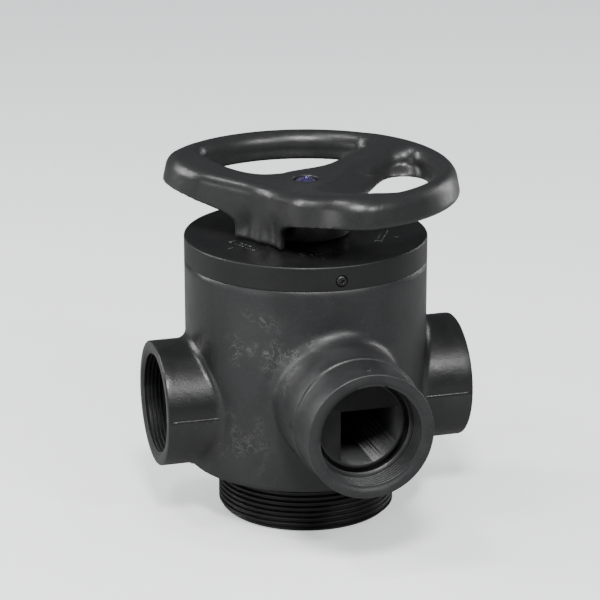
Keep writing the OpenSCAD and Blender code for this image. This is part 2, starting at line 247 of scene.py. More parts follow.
# collar is the extra radius of the stretch that ends at collar_end, measured from the axis
SIDE_PORT = {
    "reach": SIDE_REACH, "z": SIDE_Z, "r": 35.8, "fillet": 5.5, "collar": 0, "collar_end": 80
}
PORTS = {
    "left": {"az": math.pi, **SIDE_PORT},
    "right": {"az": 0.0, **SIDE_PORT},
    "drain": {
        "az": DRAIN_AZ, "reach": DRAIN_REACH, "z": DRAIN_Z, "r": 35.3,
        "fillet": 8, "collar": 1.3, "collar_end": 100
    },
}


def port_matrix(az, z):
    """Port axis as local Z pointing out of the mouth, local Y up, in metres."""
    out = Vector((math.cos(az), math.sin(az), 0))
    up = Vector((0, 0, 1))
    side = up.cross(out)
    m = Matrix((side, up, out)).transposed().to_4x4()
    m.translation = Vector((0, 0, z * MM))
    return m


def port_skin(az, reach, z, r, fillet, collar, collar_end, count=176, arc_steps=11):
    """Points of a port's outside, from its root on the body to its mouth, in columns."""
    big, rolled = BODY_R + fillet, r + collar + fillet
    out = np.array([math.cos(az), math.sin(az), 0])
    side = np.array([-math.sin(az), math.cos(az), 0])
    up = np.array([0, 0, 1.0])
    edge_r = 0.9
    slope = 1.3
    # the collar's end as steps of (distance from its end, share of its extra radius)
    collar_steps = ((-0.8, 0.92), (-0.45, 0.7), (-0.2, 0.35), (0.2, 0.12), (1.0, 0.0))
    columns = []
    for t in np.arange(count) * TAU / count:
        c, s = math.cos(t), math.sin(t)
        a_c = math.sqrt(big ** 2 - (rolled * c) ** 2)
        centre = np.array([a_c, rolled * c, rolled * s])
        to_port = np.array([0, -c, -s])
        to_body = -np.array([a_c, rolled * c, 0]) / big
        sweep = math.acos(float(to_port @ to_body))
        column = []
        for k in range(arc_steps + 1):
            w = k / arc_steps
            d = to_body * math.sin((1 - w) * sweep) + to_port * math.sin(w * sweep)
            column.append(centre + fillet * d / math.sin(sweep))
        for w in (0.3, 0.65, 1.0):
            x = a_c + (collar_end - slope - a_c) * w
            column.append(np.array([x, (r + collar) * c, (r + collar) * s]))
        for x, share in collar_steps:
            step_r = r + collar * share
            column.append(np.array([collar_end + x, step_r * c, step_r * s]))
        for w in (0.5, 1.0):
            x = collar_end + 1 + (reach - edge_r - collar_end - 1) * w
            column.append(np.array([x, r * c, r * s]))
        for k in (1, 2, 3):
            q = k / 3 * math.pi / 2
            rr = r - edge_r * (1 - math.cos(q))
            column.append(np.array([reach - edge_r * (1 - math.sin(q)), rr * c, rr * s]))
        columns.append([q[0] * out + q[1] * side + (z + q[2]) * up for q in column])
    return np.array(columns)


def barrel(z_low, z_high):
    """The body's round wall between the ports' roots, as triangles on the unrolled cylinder."""
    steps, spacing = 240, 3.4
    theta0, theta1 = -1.5 * math.pi, 0.5 * math.pi    # the seam is at the back, away from ports
    pts, edges = [], []

    def chain(points, closed=False):
        start = len(pts)
        pts.extend(points)
        n = len(points)
        edges.extend((start + i, start + i + 1) for i in range(n - 1))
        if closed:
            edges.append((start + n - 1, start))

    ring = np.linspace(theta0, theta1, steps + 1) * BODY_R
    rise = np.linspace(z_low, z_high, 30)
    chain([(u, z_low) for u in ring])
    chain([(u, z_high) for u in ring])
    chain([(ring[0], z) for z in rise])
    chain([(ring[-1], z) for z in rise])
    skins, rooms, ring_of = [], [], []
    for port in PORTS.values():
        skin = port_skin(**port)
        skins.append(skin)
        root = skin[:, 0]
        mid = port["az"] if port["az"] < math.pi else -math.pi
        ang = np.arctan2(root[:, 1], root[:, 0])
        ang = mid + (ang - mid + math.pi) % TAU - math.pi
        ring_of += [-1] * (len(pts) - len(ring_of)) + [len(rooms)] * len(root)
        chain([(BODY_R * a, q[2]) for a, q in zip(ang, root)], closed=True)
        rooms.append((mid, port["z"], port["r"] + port["collar"] + port["fillet"], port["fillet"]))

    def outside(u, zz, margin):
        ok = np.ones(len(u), bool)
        for mid, z, room, fillet in rooms:
            b = np.sin(u / BODY_R - mid) * (BODY_R + fillet)
            near = np.cos(u / BODY_R - mid) > 0
            ok &= ~((b ** 2 + (zz - z) ** 2 < (room + margin) ** 2) & near)
        return ok

    us = np.linspace(ring[0], ring[-1], int((ring[-1] - ring[0]) / spacing))[1:-1]
    zs = np.linspace(z_low, z_high, int((z_high - z_low) / spacing))[1:-1]
    gu, gz = [q.ravel() for q in np.meshgrid(us, zs)]
    keep = outside(gu, gz, 1.6)
    pts.extend(zip(gu[keep], gz[keep]))
    ring_of += [-1] * (len(pts) - len(ring_of))
    flat = [Vector((float(u), float(z))) for u, z in pts]
    out = geometry.delaunay_2d_cdt(flat, edges, [], 0, 1e-5)
    v2, tris = np.array([tuple(v) for v in out[0]]), np.array(out[2])
    # a triangle with all its corners on one root lies inside that port
    owner = np.array([ring_of[o[0]] if o else -1 for o in out[3]])[tris]
    same = (owner[:, 0] == owner[:, 1]) & (owner[:, 1] == owner[:, 2]) & (owner[:, 0] >= 0)
    tris = tris[~same]
    ang = v2[:, 0] / BODY_R
    verts = np.stack([BODY_R * np.cos(ang), BODY_R * np.sin(ang), v2[:, 1]], 1)
    return verts, tris, skins


def body_blank():
    """The body's outside, closed at the top by a chamfer and below under the shoulder."""
    edge = 0.45
    z_low = SHOULDER - 8
    verts, tris, skins = barrel(z_low, SEAM - edge)
    all_v, all_f, n = [verts], [tuple(t) for t in tris], len(verts)
    for skin in skins:
        count, rows = skin.shape[:2]
        all_v.append(skin.reshape(-1, 3))
        all_f += [tuple(n + i for i in f) for f in grid_faces(count, rows)]
        all_f.append(tuple(n + i * rows + rows - 1 for i in range(count)))
        n += count * rows
    steps = 240
    ang = np.linspace(-1.5 * math.pi, 0.5 * math.pi, steps + 1)[:-1]
    for radius, z in ((BODY_R, SEAM - edge), (BODY_R - edge, SEAM), (BODY_R, z_low)):
        all_v.append(
            np.stack([radius * np.cos(ang), radius * np.sin(ang), np.full(steps, z)], 1)
        )
    all_f += [
        (n + i, n + (i + 1) % steps, n + steps + (i + 1) % steps, n + steps + i)
        for i in range(steps)
    ]
    all_f.append(tuple(n + steps + i for i in range(steps)))
    all_f.append(tuple(n + 2 * steps + i for i in range(steps)))
    return new_object("valve_body_shell", np.concatenate(all_v), all_f)


def port_hollow(name, az, reach, z, depth):
    """What is cut out of a port: chamfer, helical G2 thread, lip, groove and passage."""
    root_r = PORT_CREST_R + 1.48
    pitch = 2.309
    socket, lip, thread_end = 18.6, 16.0, 14.4

    def shape(phase):
        bump = smoothstep(np.abs(phase * 2 - 1) * 1.9 - 0.45)
        return PORT_CREST_R + (root_r - PORT_CREST_R) * bump

    before = [(0, -0.6), (root_r + 1.45, -0.6), (root_r + 0.85, 0), (root_r + 0.1, 0.9)]
    after = [
        (PORT_CREST_R, thread_end + 0.02), (26.3, lip), (26.5, lip + 0.3), (28.4, lip + 0.6),
        (28.4, 24), (24.5, 24), (24.5, socket + 0.35), (24.3, socket), (23.6, socket),
        (23.4, socket + 0.3), (23.4, depth), (0, depth)
    ]
    # the thread runs into the port, so local heights are turned round
    flip = Matrix.Rotation(math.pi, 4, "X")
    place = port_matrix(az, z) @ Matrix.Translation((0, 0, reach * MM)) @ flip
    thread = (0.95, thread_end, pitch, shape, PORT_CREST_R, 10)
    return threaded_turn(name, before, thread, after, matrix=place)


def box_solid(name, low, high, matrix=None):
    """A plain box between two corners."""
    corners = [
        (x, y, z) for x in (low[0], high[0]) for y in (low[1], high[1]) for z in (low[2], high[2])
    ]
    faces = [(0, 1, 3, 2), (4, 6, 7, 5), (0, 4, 5, 1), (2, 3, 7, 6), (0, 2, 6, 4), (1, 5, 7, 3)]
    return new_object(name, corners, faces, matrix)


def cad_copy(node, name):
    """A welded copy of a CAD node's mesh, to work out the hollows inside it."""
    ob = bpy.data.objects.new(name, frame["nodes"][node].data.copy())
    bpy.context.scene.collection.objects.link(ob)
    ob.data.materials.clear()
    tidy_mesh(ob.data, 0.001)
    return ob


def inner_void():
    """The chambers and ways inside the body, taken from its CAD solid."""
    block = revolve("void", [
        (0, -1), (46, -1), (46, 36), (65, 36), (65, 104), (60.2, 104), (60.2, 159.5), (0, 159.5)
    ], 144)
    return boolean(block, cad_copy("valve_body", "cad_body"), "DIFFERENCE")


def tank_thread():
    """The base's external thread with true helical ridges."""
    crest, root = TANK_CREST_R, TANK_CREST_R - 1.95

    def shape(phase):
        tooth = smoothstep(1.55 - np.abs(phase * 2 - 1) * 2.1)
        return root + (crest - root) * tooth

    pitch = 3.175
    before = [(0, 0), (root - 1.0, 0), (root - 0.3, 0.5)]
    after = [(root, SHOULDER + 2), (0, SHOULDER + 2)]
    thread = (1.0, SHOULDER - 0.6, pitch, shape, root, 12)
    return threaded_turn("tank_thread", before, thread, after, count=192)


def cap_neck():
    """The ridged neck that the cap screws onto."""
    neck = [(0, SEAM - 3), (NECK_R, SEAM - 3), (NECK_R, SEAM + 0.6)]
    for k in range(3):
        z = SEAM + 0.4 + 3 * k
        neck += [
            (NECK_CREST_R, z + 0.7), (NECK_CREST_R, z + 1.5), (NECK_R, z + 2.2), (NECK_R, z + 3.0)
        ]
    return revolve("neck", neck[:-1] + [(NECK_R - 0.4, NECK_TOP), (0, NECK_TOP)], 160)


def moulding_lines():
    """Low ridges left by the mould, as name, low and high corner of a box."""
    r = SIDE_PORT["r"] + 0.08
    for sign in (-1, 1):
        a, b = sorted((sign * 56, sign * (SIDE_REACH - 1.0)))
        yield "parting", (a, -r, SIDE_Z - 0.1), (b, r, SIDE_Z + 0.1)
    front, top = -DRAIN_REACH + 7, DRAIN_Z + 35.6
    yield "tick", (-1.6, front, 100), (1.4, front + 0.7, top)
    yield "tick", (-37.1, -95.5, DRAIN_Z - 0.3), (-30, -92.5, DRAIN_Z + 0.3)


def make_body():
    """The body: barrel, ports and tank thread, with its hollows cut from the CAD solid."""
    body = body_blank()
    big = 200
    boolean(body, box_solid("below", (-big, -big, -big), (big, big, SHOULDER)), "DIFFERENCE")
    edge = [
        (BODY_R - 0.5, SHOULDER - 1), (BODY_R + 2, SHOULDER - 1),
        (BODY_R + 2, SHOULDER + 2.4), (BODY_R - 0.5, SHOULDER - 0.1)
    ]
    boolean(body, revolve("edge", edge, 240, closed=True), "DIFFERENCE")
    boolean(body, tank_thread(), "UNION")
    boolean(body, cap_neck(), "UNION")
    for name, low, high in moulding_lines():
        boolean(body, box_solid(name, low, high), "UNION")
    boolean(body, inner_void(), "DIFFERENCE")
    for name, port in PORTS.items():
        depth = 19.6 if name == "drain" else port["reach"] - 64
        hollow = port_hollow("hollow_" + name, port["az"], port["reach"], port["z"], depth)
        boolean(body, hollow, "DIFFERENCE")
    # rectangular window behind the drain port, inside the passage's bore
    window = box_solid("window", (-11.3, -DRAIN_REACH + 19, 62), (20, -60, 92.4))
    core = [(0, 55), (23.0, 55), (23.0, 110), (0, 110)]
    boolean(window, revolve("core", core, 128, port_matrix(DRAIN_AZ, DRAIN_Z)), "INTERSECT")
    boolean(body, window, "DIFFERENCE")
    # face groove for the tank seal, and the lock screw's hole
    groove_top = SHOULDER + 3.3
    groove = [(53, SHOULDER - 1), (57.5, SHOULDER - 1), (57.5, groove_top), (53, groove_top)]
    boolean(body, revolve("groove", groove, 160, closed=True), "DIFFERENCE")
    hole = [(0, 60.5), (1.55, 60.5), (1.55, 66), (0, 66)]
    boolean(body, revolve("hole", hole, 24, port_matrix(DRAIN_AZ, LOCK_Z)), "DIFFERENCE")
    return smooth(body, 32)


# ---------------------------------------------------------------- cap

DIGITS = {
    1: [((0.5, 0), (0.5, 1)), ((0.5, 1), (0.2, 0.75)), ((0.15, 0), (0.85, 0))],
    2: [
        ((0.1, 0.95), (0.9, 0.95)), ((0.9, 0.95), (0.9, 0.55)), ((0.9, 0.55), (0.1, 0.05)),
        ((0.1, 0.05), (0.95, 0.05))
    ],
    3: [
        ((0.1, 0.95), (0.9, 0.95)), ((0.9, 0.95), (0.45, 0.55)), ((0.45, 0.55), (0.9, 0.4)),
        ((0.9, 0.4), (0.85, 0.05)), ((0.85, 0.05), (0.1, 0.05))
    ],
}


# faces of a tapered box whose corners are listed round its bottom, then round its top
TAPERED = [(3, 2, 1, 0), (4, 5, 6, 7)] + [
    (i, (i + 1) % 4, 4 + (i + 1) % 4, 4 + i) for i in range(4)
]


def stroke(p, q, width, z, height):
    """A raised bar from p to q on a level face."""
    p, q = np.array(p, float), np.array(q, float)
    along = (q - p) / np.linalg.norm(q - p)
    across = np.array([-along[1], along[0]]) * width / 2
    p, q = p - along * width / 2, q + along * width / 2
    low = [p - across, q - across, q + across, p + across]
    mid = (p + q) / 2
    high = [mid + (c - mid) * 0.86 for c in low]
    verts = [(*c, z - 0.4) for c in low] + [(*c, z + height) for c in high]
    return new_object("stroke", verts, TAPERED)


def cap_marks():
    """Strokes of the three position marks: a numeral, an index bar and rows of dashes each."""
    mark_r, numeral = 46, 4.2
    out = []
    for number, az in ((1, -157), (2, -95), (3, -28)):
        a = math.radians(az)
        radial = np.array([math.cos(a), math.sin(a)])
        right = np.array([-radial[1], radial[0]])

        def place(x, y):
            return radial * (mark_r - y) + right * x

        for p, q in DIGITS[number]:
            p2 = place(-12 + p[0] * numeral * 0.7, p[1] * numeral)
            q2 = place(-12 + q[0] * numeral * 0.7, q[1] * numeral)
            out.append((p2, q2, 0.75))
        for k in range(6):
            x = -6.5 + 3.1 * k
            out.append((place(x, 0.6), place(x + (1.7 if k % 2 else 1.2), 0.6), 0.8))
        for k in range(3):
            x = -5.5 + 3.6 * k
            out.append((place(x, 3.6), place(x + 2.0, 3.6), 0.7))
        out.append((place(-1.0, -5.5), place(-1.0, -8.0), 0.9))
    return out


def make_cap():
    """The cap with its raised marks, the stem's bore and the lock screw's seat."""
    gap = 0.1
    top = CAP_TOP
    outside = rounded([
        (0, SEAM + gap), (BODY_R, SEAM + gap), (BODY_R, top), (0, top)
    ], {1: 0.4, 2: 1.15}, 6)
    cap = revolve("top_cap_shell", outside, 240)
    boolean(cap, revolve("under", [(0, 142.1), (66, 142.1), (66, 151), (0, 151)], 160), "UNION")
    block = revolve("void", [(0, 141), (67.5, 141), (67.5, 161), (0, 161)], 200)
    boolean(block, cad_copy("top_cap", "cad_cap"), "DIFFERENCE")
    boolean(cap, block, "DIFFERENCE")
    bore = [(0, 159), (13.05, 159), (13.05, top), (14.2, top + 1.15), (0, top + 1.15)]
    boolean(cap, revolve("bore", bore, 96), "DIFFERENCE")
    seat = port_matrix(DRAIN_AZ, LOCK_Z)
    screw_r, recess_r = 1.65, 3.4
    sunk = BODY_R - LOCK_SUNK
    recess = [
        (0, 62), (screw_r, 62), (screw_r, sunk), (recess_r, sunk),
        (recess_r, BODY_R + 2), (0, BODY_R + 2)
    ]
    boolean(cap, revolve("recess", recess, 48, seat), "DIFFERENCE")
    # raised lip round the lock screw
    lip = [
        (recess_r, BODY_R - 1.8), (recess_r + 0.6, BODY_R - 1.8), (recess_r + 0.6, BODY_R),
        (recess_r, BODY_R)
    ]
    boolean(cap, revolve("lip", lip, 48, seat, closed=True), "UNION")
    for p, q, width in cap_marks():
        boolean(cap, stroke(p, q, width, top, 0.42), "UNION")
    return smooth(cap, 30, True)


def turned_screw(name, head, slots, slot_w, slot_deep, matrix, turn=0.0, count=64):
    """A screw's head and shank as one turned solid, with a tapered cross recess."""
    screw = revolve(name, head, count)
    top = max(p[1] for p in head)
    for k in range(2):
        w, wt, l, lt = slot_w / 2, slot_w * 0.34, slots, slots * 0.45
        z0, z1 = top - slot_deep, top + 0.5
        low = [(-lt, -wt, z0), (lt, -wt, z0), (lt, wt, z0), (-lt, wt, z0)]
        high = [(-l, -w, z1), (l, -w, z1), (l, w, z1), (-l, w, z1)]
        across = Matrix.Rotation(turn + k * math.pi / 2, 4, "Z")
        tool = new_object("slot", low + high, TAPERED, across)
        boolean(screw, tool, "DIFFERENCE")
    screw.data.transform(matrix)
    return smooth(screw, 30)


def make_lock_screw():
    """The small screw in the cap's side, turned along the drain port's direction."""
    head = [(0, -6.4), (1.0, -6.4), (1.45, -5.9), (1.45, 0.05), (3.05, 0.05)]
    head += rounded([(3.05, 0.05), (3.05, 2.3), (0, 2.3)], {1: 1.0}, 5)[1:]
    seat = Matrix.Translation((0, 0, (BODY_R - LOCK_SUNK) * MM))
    place = port_matrix(DRAIN_AZ, LOCK_Z) @ seat
    return turned_screw("lock_screw_pan", head, 1.8, 0.8, 1.1, place, 0.5)


def make_wheel_screw():
    """The low domed screw on top of the handwheel's hub."""
    low, high = box_mm("handwheel_screw")
    shank_r, head_r = 2.85, 6.25
    seat, top = HUB_TOP - 2.4, high[2]
    arc = math.radians(38)
    dome = []
    for k in range(9):
        q = k / 8 * arc
        dome.append((head_r * math.sin(q) / math.sin(arc), math.cos(q)))
    flat, peak = dome[-1][1], dome[0][1]
    rim = top - 2.45
    dome = [(r, rim + (h - flat) / (peak - flat) * (top - rim)) for r, h in reversed(dome)]
    head = [(0, low[2]), (shank_r, low[2]), (shank_r, seat + 0.1), (head_r, seat + 0.1)] + dome
    upright = Matrix.Identity(4)
    return turned_screw("handwheel_screw_pan", head, 3.3, 1.3, 1.9, upright, WHEEL_AZ + 0.35)


# ---------------------------------------------------------------- handwheel

def rint(a, b, k):
    """Intersection of two distance fields with its edge rounded to radius k."""
    return np.minimum(-k, np.maximum(a, b)) + np.hypot(np.maximum(a + k, 0), np.maximum(b + k, 0))


def runion(a, b, k):
    return -rint(-a, -b, k)


def wheel_openings(u, av, r, z):
    """The two openings beside the spoke, narrower towards the hub on the underside."""
    t = smoothstep((195 - z) / 9)
    rim = r - OPENING_R + 0.09 * (RIM_TOP - z)
    spoke = SPOKE_HALF + 1.7 * t - av
    hub = 19.5 + 8.5 * t - r
    front = -19.5 - u
    corner = 14 + 8 * t
    beside_spoke = rint(rim, rint(hub, spoke, 14 + 18 * t), corner)
    behind_front = rint(rim, rint(hub, front, 32), corner)
    return np.maximum(beside_spoke, behind_front)


def wheel_field(u, v, z):
    """Signed distance, roughly, of the handwheel: u along the spoke, the pointer towards -u."""
    r = np.hypot(u, v)
    av = np.abs(v)
    top_z = HUB_TOP + (RIM_TOP - HUB_TOP) * np.clip((r - 10) / 64, 0, 1) ** 1.15
    top = (z - top_z) * 0.985
    side = (r - RIM_R) * 0.982 + (z - RIM_TOP) * 0.190
    # front face: set forward beside the pointer, which is a small beak with a scoop either side
    drop = np.clip((186 - z) / 21.5, 0, 1)
    beak = np.exp(-(v / 6) ** 2) * drop ** 2
    scoop = np.exp(-((av - 10) / 6.5) ** 2) * np.sin(math.pi * drop ** 1.6)
    flank = -36.5 - 12 * smoothstep((av - 2) / 42)
    flank = flank + 1.5 * scoop - 2.2 * beak
    front = flank - u + 0.19 * (z - 188) * smoothstep((av - 30) / 30)
    # the rim's underside, and the skirt that carries the pointer down to the cap
    under = 185.1 + 1.6 * smoothstep((r - 30) / 40) - z
    half = 18 + 14 * np.clip((z - 168) / 13.5, 0, 2) ** 3.2
    skirt = rint(rint((av - half) * 0.85, WHEEL_LOW - z, 0.8), u - flank - 5.5, 1.5)
    low = runion(under, skirt, 2)
    wheel = rint(rint(top, rint(side, front, 17), 7.5), low, 2.5)
    # soft edge round the openings on top, crisp underneath
    edge = 1.2 + 6.8 * smoothstep((z - 187.5) / 6)
    wheel = rint(wheel, -wheel_openings(u, av, r, z), edge)
    hub = np.maximum(np.maximum(r - HUB_R, WHEEL_LOW - z), z - 188)
    return runion(wheel, hub, 4)


def surface_net(field, low, high, step):
    """Closed quad mesh of the zero surface of field(x, y, z) < 0, drawn onto the surface."""
    low = np.array(low, float)
    axes = [np.arange(lo, hi + step, step) for lo, hi in zip(low, high)]
    grid = np.meshgrid(*axes, indexing="ij")
    f = field(*grid)
    n = np.array(f.shape) - 1
    acc = np.zeros((*n, 3))
    cnt = np.zeros(n)
    quads = []
    for axis in range(3):
        f0 = np.take(f, range(f.shape[axis] - 1), axis)
        f1 = np.take(f, range(1, f.shape[axis]), axis)
        idx = np.argwhere((f0 < 0) != (f1 < 0))
        a, b = f0[tuple(idx.T)], f1[tuple(idx.T)]
        point = idx.astype(float)
        point[:, axis] += a / (a - b)
        point = low + point * step
        e1, e2 = np.eye(3, dtype=int)[(axis + 1) % 3], np.eye(3, dtype=int)[(axis + 2) % 3]
        cells = [idx, idx - e1, idx - e1 - e2, idx - e2]
        for cell in cells:
            np.add.at(acc, tuple(cell.T), point)
            np.add.at(cnt, tuple(cell.T), 1)
        quads.append((cells, a < 0))
    ids = np.full(tuple(n), -1)
    used = np.argwhere(cnt > 0)
    ids[tuple(used.T)] = np.arange(len(used))
    verts = acc[tuple(used.T)] / cnt[tuple(used.T)][:, None]
    faces = []
    for cells, flip in quads:
        q = np.stack([ids[tuple(c.T)] for c in cells], 1)
        q[~flip] = q[~flip][:, ::-1]
        faces.append(q)
    # slide the points onto the surface itself, a few careful steps along the gradient
    h = 0.02
    for _ in range(3):
        value = field(*verts.T)
        grad = np.stack([
            (field(*(verts + h * e).T) - field(*(verts - h * e).T)) / (2 * h) for e in np.eye(3)
        ], 1)
        move = value[:, None] * grad / np.maximum((grad ** 2).sum(1), 0.05)[:, None]
        length = np.linalg.norm(move, axis=1)[:, None]
        verts = verts - move * np.minimum(1, 0.4 * step / np.maximum(length, 1e-9))
    return verts, np.concatenate(faces)


def make_wheel():
    """The handwheel's surface from its distance field, with its holes cut exactly."""
    step = 1.0
    reach = 90
    verts, faces = surface_net(
        wheel_field, (-58, -reach, WHEEL_LOW - 2.3), (reach, reach, RIM_TOP + 2.4), step
    )
    verts[:, 2] = np.maximum(verts[:, 2], WHEEL_LOW)
    turn = Matrix.Rotation(WHEEL_AZ, 4, "Z")
    wheel = new_object("handwheel_shell", verts, faces, turn, clean=False)
    # square socket for the stem, the screw's hole and the seat of its head
    half, clear = 8.6, 210
    socket = box_solid("socket", (-half, -half, WHEEL_LOW - 1), (half, half, 186.1), turn)
    boolean(wheel, socket, "DIFFERENCE")
    boolean(wheel, revolve("shank", [(0, 180), (3.3, 180), (3.3, 195), (0, 195)], 48), "DIFFERENCE")
    seat = [(0, 189.5), (7.2, 189.5), (7.2, 193.9), (7.9, 194.7), (7.9, clear), (0, clear)]
    boolean(wheel, revolve("seat", seat, 96), "DIFFERENCE")
    return smooth(wheel, 38)


# ---------------------------------------------------------------- materials

class Shader:
    """A small builder for one procedural material, in object coordinates scaled to millimetres."""

    def __init__(self, name):
        self.mat = bpy.data.materials.new(name)
        self.mat.use_nodes = True
        self.tree = self.mat.node_tree
        self.bsdf = self.tree.nodes["Principled BSDF"]
        coords = self.node("ShaderNodeTexCoord").outputs["Object"]
        scale = self.node("ShaderNodeVectorMath", operation="SCALE")
        scale.inputs["Scale"].default_value = 1000
        self.link(coords, scale.inputs[0])
        self.mm = scale.outputs[0]

    def node(self, kind, **props):
        n = self.tree.nodes.new(kind)
        for key, value in props.items():
            setattr(n, key, value)
        return n

    def link(self, a, b):
        self.tree.links.new(a, b)

    def feed(self, value, socket):
        if isinstance(value, bpy.types.NodeSocket):
            self.link(value, socket)
        else:
            socket.default_value = value

    def noise(self, size_mm, detail=2.0, rough=0.5, distortion=0.0):
        n = self.node("ShaderNodeTexNoise")
        n.inputs["Scale"].default_value = 1 / size_mm
        n.inputs["Detail"].default_value = detail
        n.inputs["Roughness"].default_value = rough
        n.inputs["Distortion"].default_value = distortion
        self.link(self.mm, n.inputs["Vector"])
        return n.outputs["Fac"]

    def ramp(self, value, a, b, low=0.0, high=1.0):
        n = self.node("ShaderNodeMapRange", interpolation_type="SMOOTHSTEP")
        n.inputs["From Min"].default_value = a
        n.inputs["From Max"].default_value = b
        n.inputs["To Min"].default_value = low
        n.inputs["To Max"].default_value = high
        self.link(value, n.inputs["Value"])
        return n.outputs["Result"]

    def maths(self, operation, a, b=0.0):
        n = self.node("ShaderNodeMath", operation=operation)
        self.feed(a, n.inputs[0])
        self.feed(b, n.inputs[1])
        return n.outputs[0]

    def mix(self, fac, a, b):
        n = self.node("ShaderNodeMix", data_type="RGBA")
        self.feed(fac, n.inputs[0])
        self.feed(a, n.inputs[6])
        self.feed(b, n.inputs[7])
        return n.outputs[2]

    def axis(self, name):
        if not hasattr(self, "xyz"):
            self.xyz = self.node("ShaderNodeSeparateXYZ")
            self.link(self.mm, self.xyz.inputs[0])
        return self.xyz.outputs[name]

    def bump(self, height, mm):
        n = self.node("ShaderNodeBump")
        n.inputs["Strength"].default_value = 1.0
        n.inputs["Distance"].default_value = mm * MM
        self.link(height, n.inputs["Height"])
        if self.bsdf.inputs["Normal"].is_linked:
            self.link(self.bsdf.inputs["Normal"].links[0].from_socket, n.inputs["Normal"])
        self.link(n.outputs["Normal"], self.bsdf.inputs["Normal"])

    def finish(self, color, rough, metal=0.0, specular=0.5):
        self.feed(color, self.bsdf.inputs["Base Color"])
        self.feed(rough, self.bsdf.inputs["Roughness"])
        self.feed(metal, self.bsdf.inputs["Metallic"])
        self.bsdf.inputs["Specular IOR Level"].default_value = specular
        return self.mat


def rgb(*c):
    """A colour from three numbers, or a grey from one."""
    return (*c, 1.0) if len(c) == 3 else (c[0], c[0], c[0], 1.0)


def patch(s, x, y, z, radius):
    """1 near a point, fading to 0 at radius, in mm."""
    n = s.node("ShaderNodeVectorMath", operation="DISTANCE")
    s.link(s.mm, n.inputs[0])
    n.inputs[1].default_value = (x, y, z)
    return s.ramp(n.outputs["Value"], radius * 0.35, radius, 1.0, 0.0)


def body_plastic():
    """Black fibre-filled plastic: cloudy, finely grained, with pale specks and flow marks."""
    s = Shader("body_plastic")
    cloud = s.noise(26, 4, 0.6, 0.6)
    fine = s.noise(0.9, 3, 0.7)
    speck = s.ramp(s.noise(0.55, 1), 0.66, 0.74)
    # flow marks: thin pale wrinkles in three patches on the front left
    area = s.maths("MAXIMUM", patch(s, -46, -52, 118, 24), patch(s, -22, -66, 104, 24))
    area = s.maths("MAXIMUM", area, s.maths("MULTIPLY", patch(s, -52, -46, 58, 26), 0.6))
    wrinkle = s.noise(7.5, 6, 0.62, 1.6)
    ridge = s.maths("ABSOLUTE", s.maths("SUBTRACT", wrinkle, 0.5))
    line = s.ramp(ridge, 0.0, 0.05, 1.0, 0.0)
    gate = s.ramp(s.noise(15, 2), 0.42, 0.6)
    marks = s.maths("MULTIPLY", s.maths("MULTIPLY", line, area), gate)
    tone = s.mix(s.ramp(cloud, 0.35, 0.65), rgb(0.0105, 0.0107, 0.0112), rgb(0.0185, 0.0188, 0.0194))
    tone = s.mix(s.maths("MULTIPLY", fine, 0.5), tone, rgb(0.026, 0.0263, 0.027))
    tone = s.mix(s.maths("MULTIPLY", area, 0.3), tone, rgb(0.045))
    tone = s.mix(s.maths("MULTIPLY", marks, 0.55), tone, rgb(0.14))
    tone = s.mix(s.maths("MULTIPLY", speck, 0.12), tone, rgb(0.22))
    # painted shade: the tank thread under the body's overhang is painted darker, fading out just
    # below the shoulder
    low = s.ramp(s.axis("Z"), 27.5, 32.0, 1.0, 0.0)
    tone = s.mix(low, tone, rgb(0.006, 0.006, 0.0065))
    rough = s.ramp(cloud, 0.3, 0.7, 0.40, 0.50)
    # the upper halves of the side ports came out of a smoother part of the mould
    side = s.ramp(s.maths("ABSOLUTE", s.axis("X")), 60, 64)
    upper = s.ramp(s.axis("Z"), SIDE_Z - 0.15, SIDE_Z + 0.15)
    polish = s.maths("MULTIPLY", side, upper)
    rough = s.maths("SUBTRACT", rough, s.maths("MULTIPLY", polish, 0.10))
    tone = s.mix(s.maths("MULTIPLY", polish, 0.6), tone, rgb(0.006))
    s.bump(s.noise(0.8, 2, 0.6), 0.055)
    s.bump(s.noise(3.2, 3, 0.6), 0.10)
    s.bump(marks, 0.10)
    s.bump(s.noise(30, 2), 0.35)
    return s.finish(tone, rough, specular=0.5)


def cap_plastic():
    """The cap's darker black, with a painted highlight on the tops of the raised marks."""
    s = Shader("cap_plastic")
    cloud = s.noise(18, 3, 0.6)
    speck = s.ramp(s.noise(0.7, 1), 0.68, 0.76)
    tone = s.mix(cloud, rgb(0.005, 0.0051, 0.0055), rgb(0.008, 0.0081, 0.0086))
    tone = s.mix(s.maths("MULTIPLY", speck, 0.10), tone, rgb(0.15))
    # painted highlight: the tops of the raised marks are painted paler, in patches
    raised = s.ramp(s.axis("Z"), CAP_TOP + 0.22, CAP_TOP + 0.4)
    tone = s.mix(s.maths("MULTIPLY", raised, s.ramp(s.noise(4, 2), 0.35, 0.7)), tone, rgb(0.10))
    s.bump(s.noise(0.7, 2, 0.6), 0.05)
    s.bump(s.noise(5, 2), 0.05)
    return s.finish(tone, s.ramp(cloud, 0.3, 0.7, 0.40, 0.50), specular=0.45)


def handle_plastic():
    """The handwheel's semi-gloss black with a fine grain."""
    s = Shader("handle_plastic")
    cloud = s.noise(30, 3, 0.6)
    grain = s.noise(0.75, 2, 0.7)
    tone = s.mix(cloud, rgb(0.0135, 0.0136, 0.0140), rgb(0.019, 0.0191, 0.0195))
    tone = s.mix(s.maths("MULTIPLY", s.ramp(grain, 0.62, 0.72), 0.15), tone, rgb(0.16))
    s.bump(grain, 0.07)
    s.bump(s.noise(9, 2), 0.12)
    return s.finish(tone, s.ramp(s.noise(6, 3), 0.3, 0.7, 0.30, 0.37), specular=0.5)


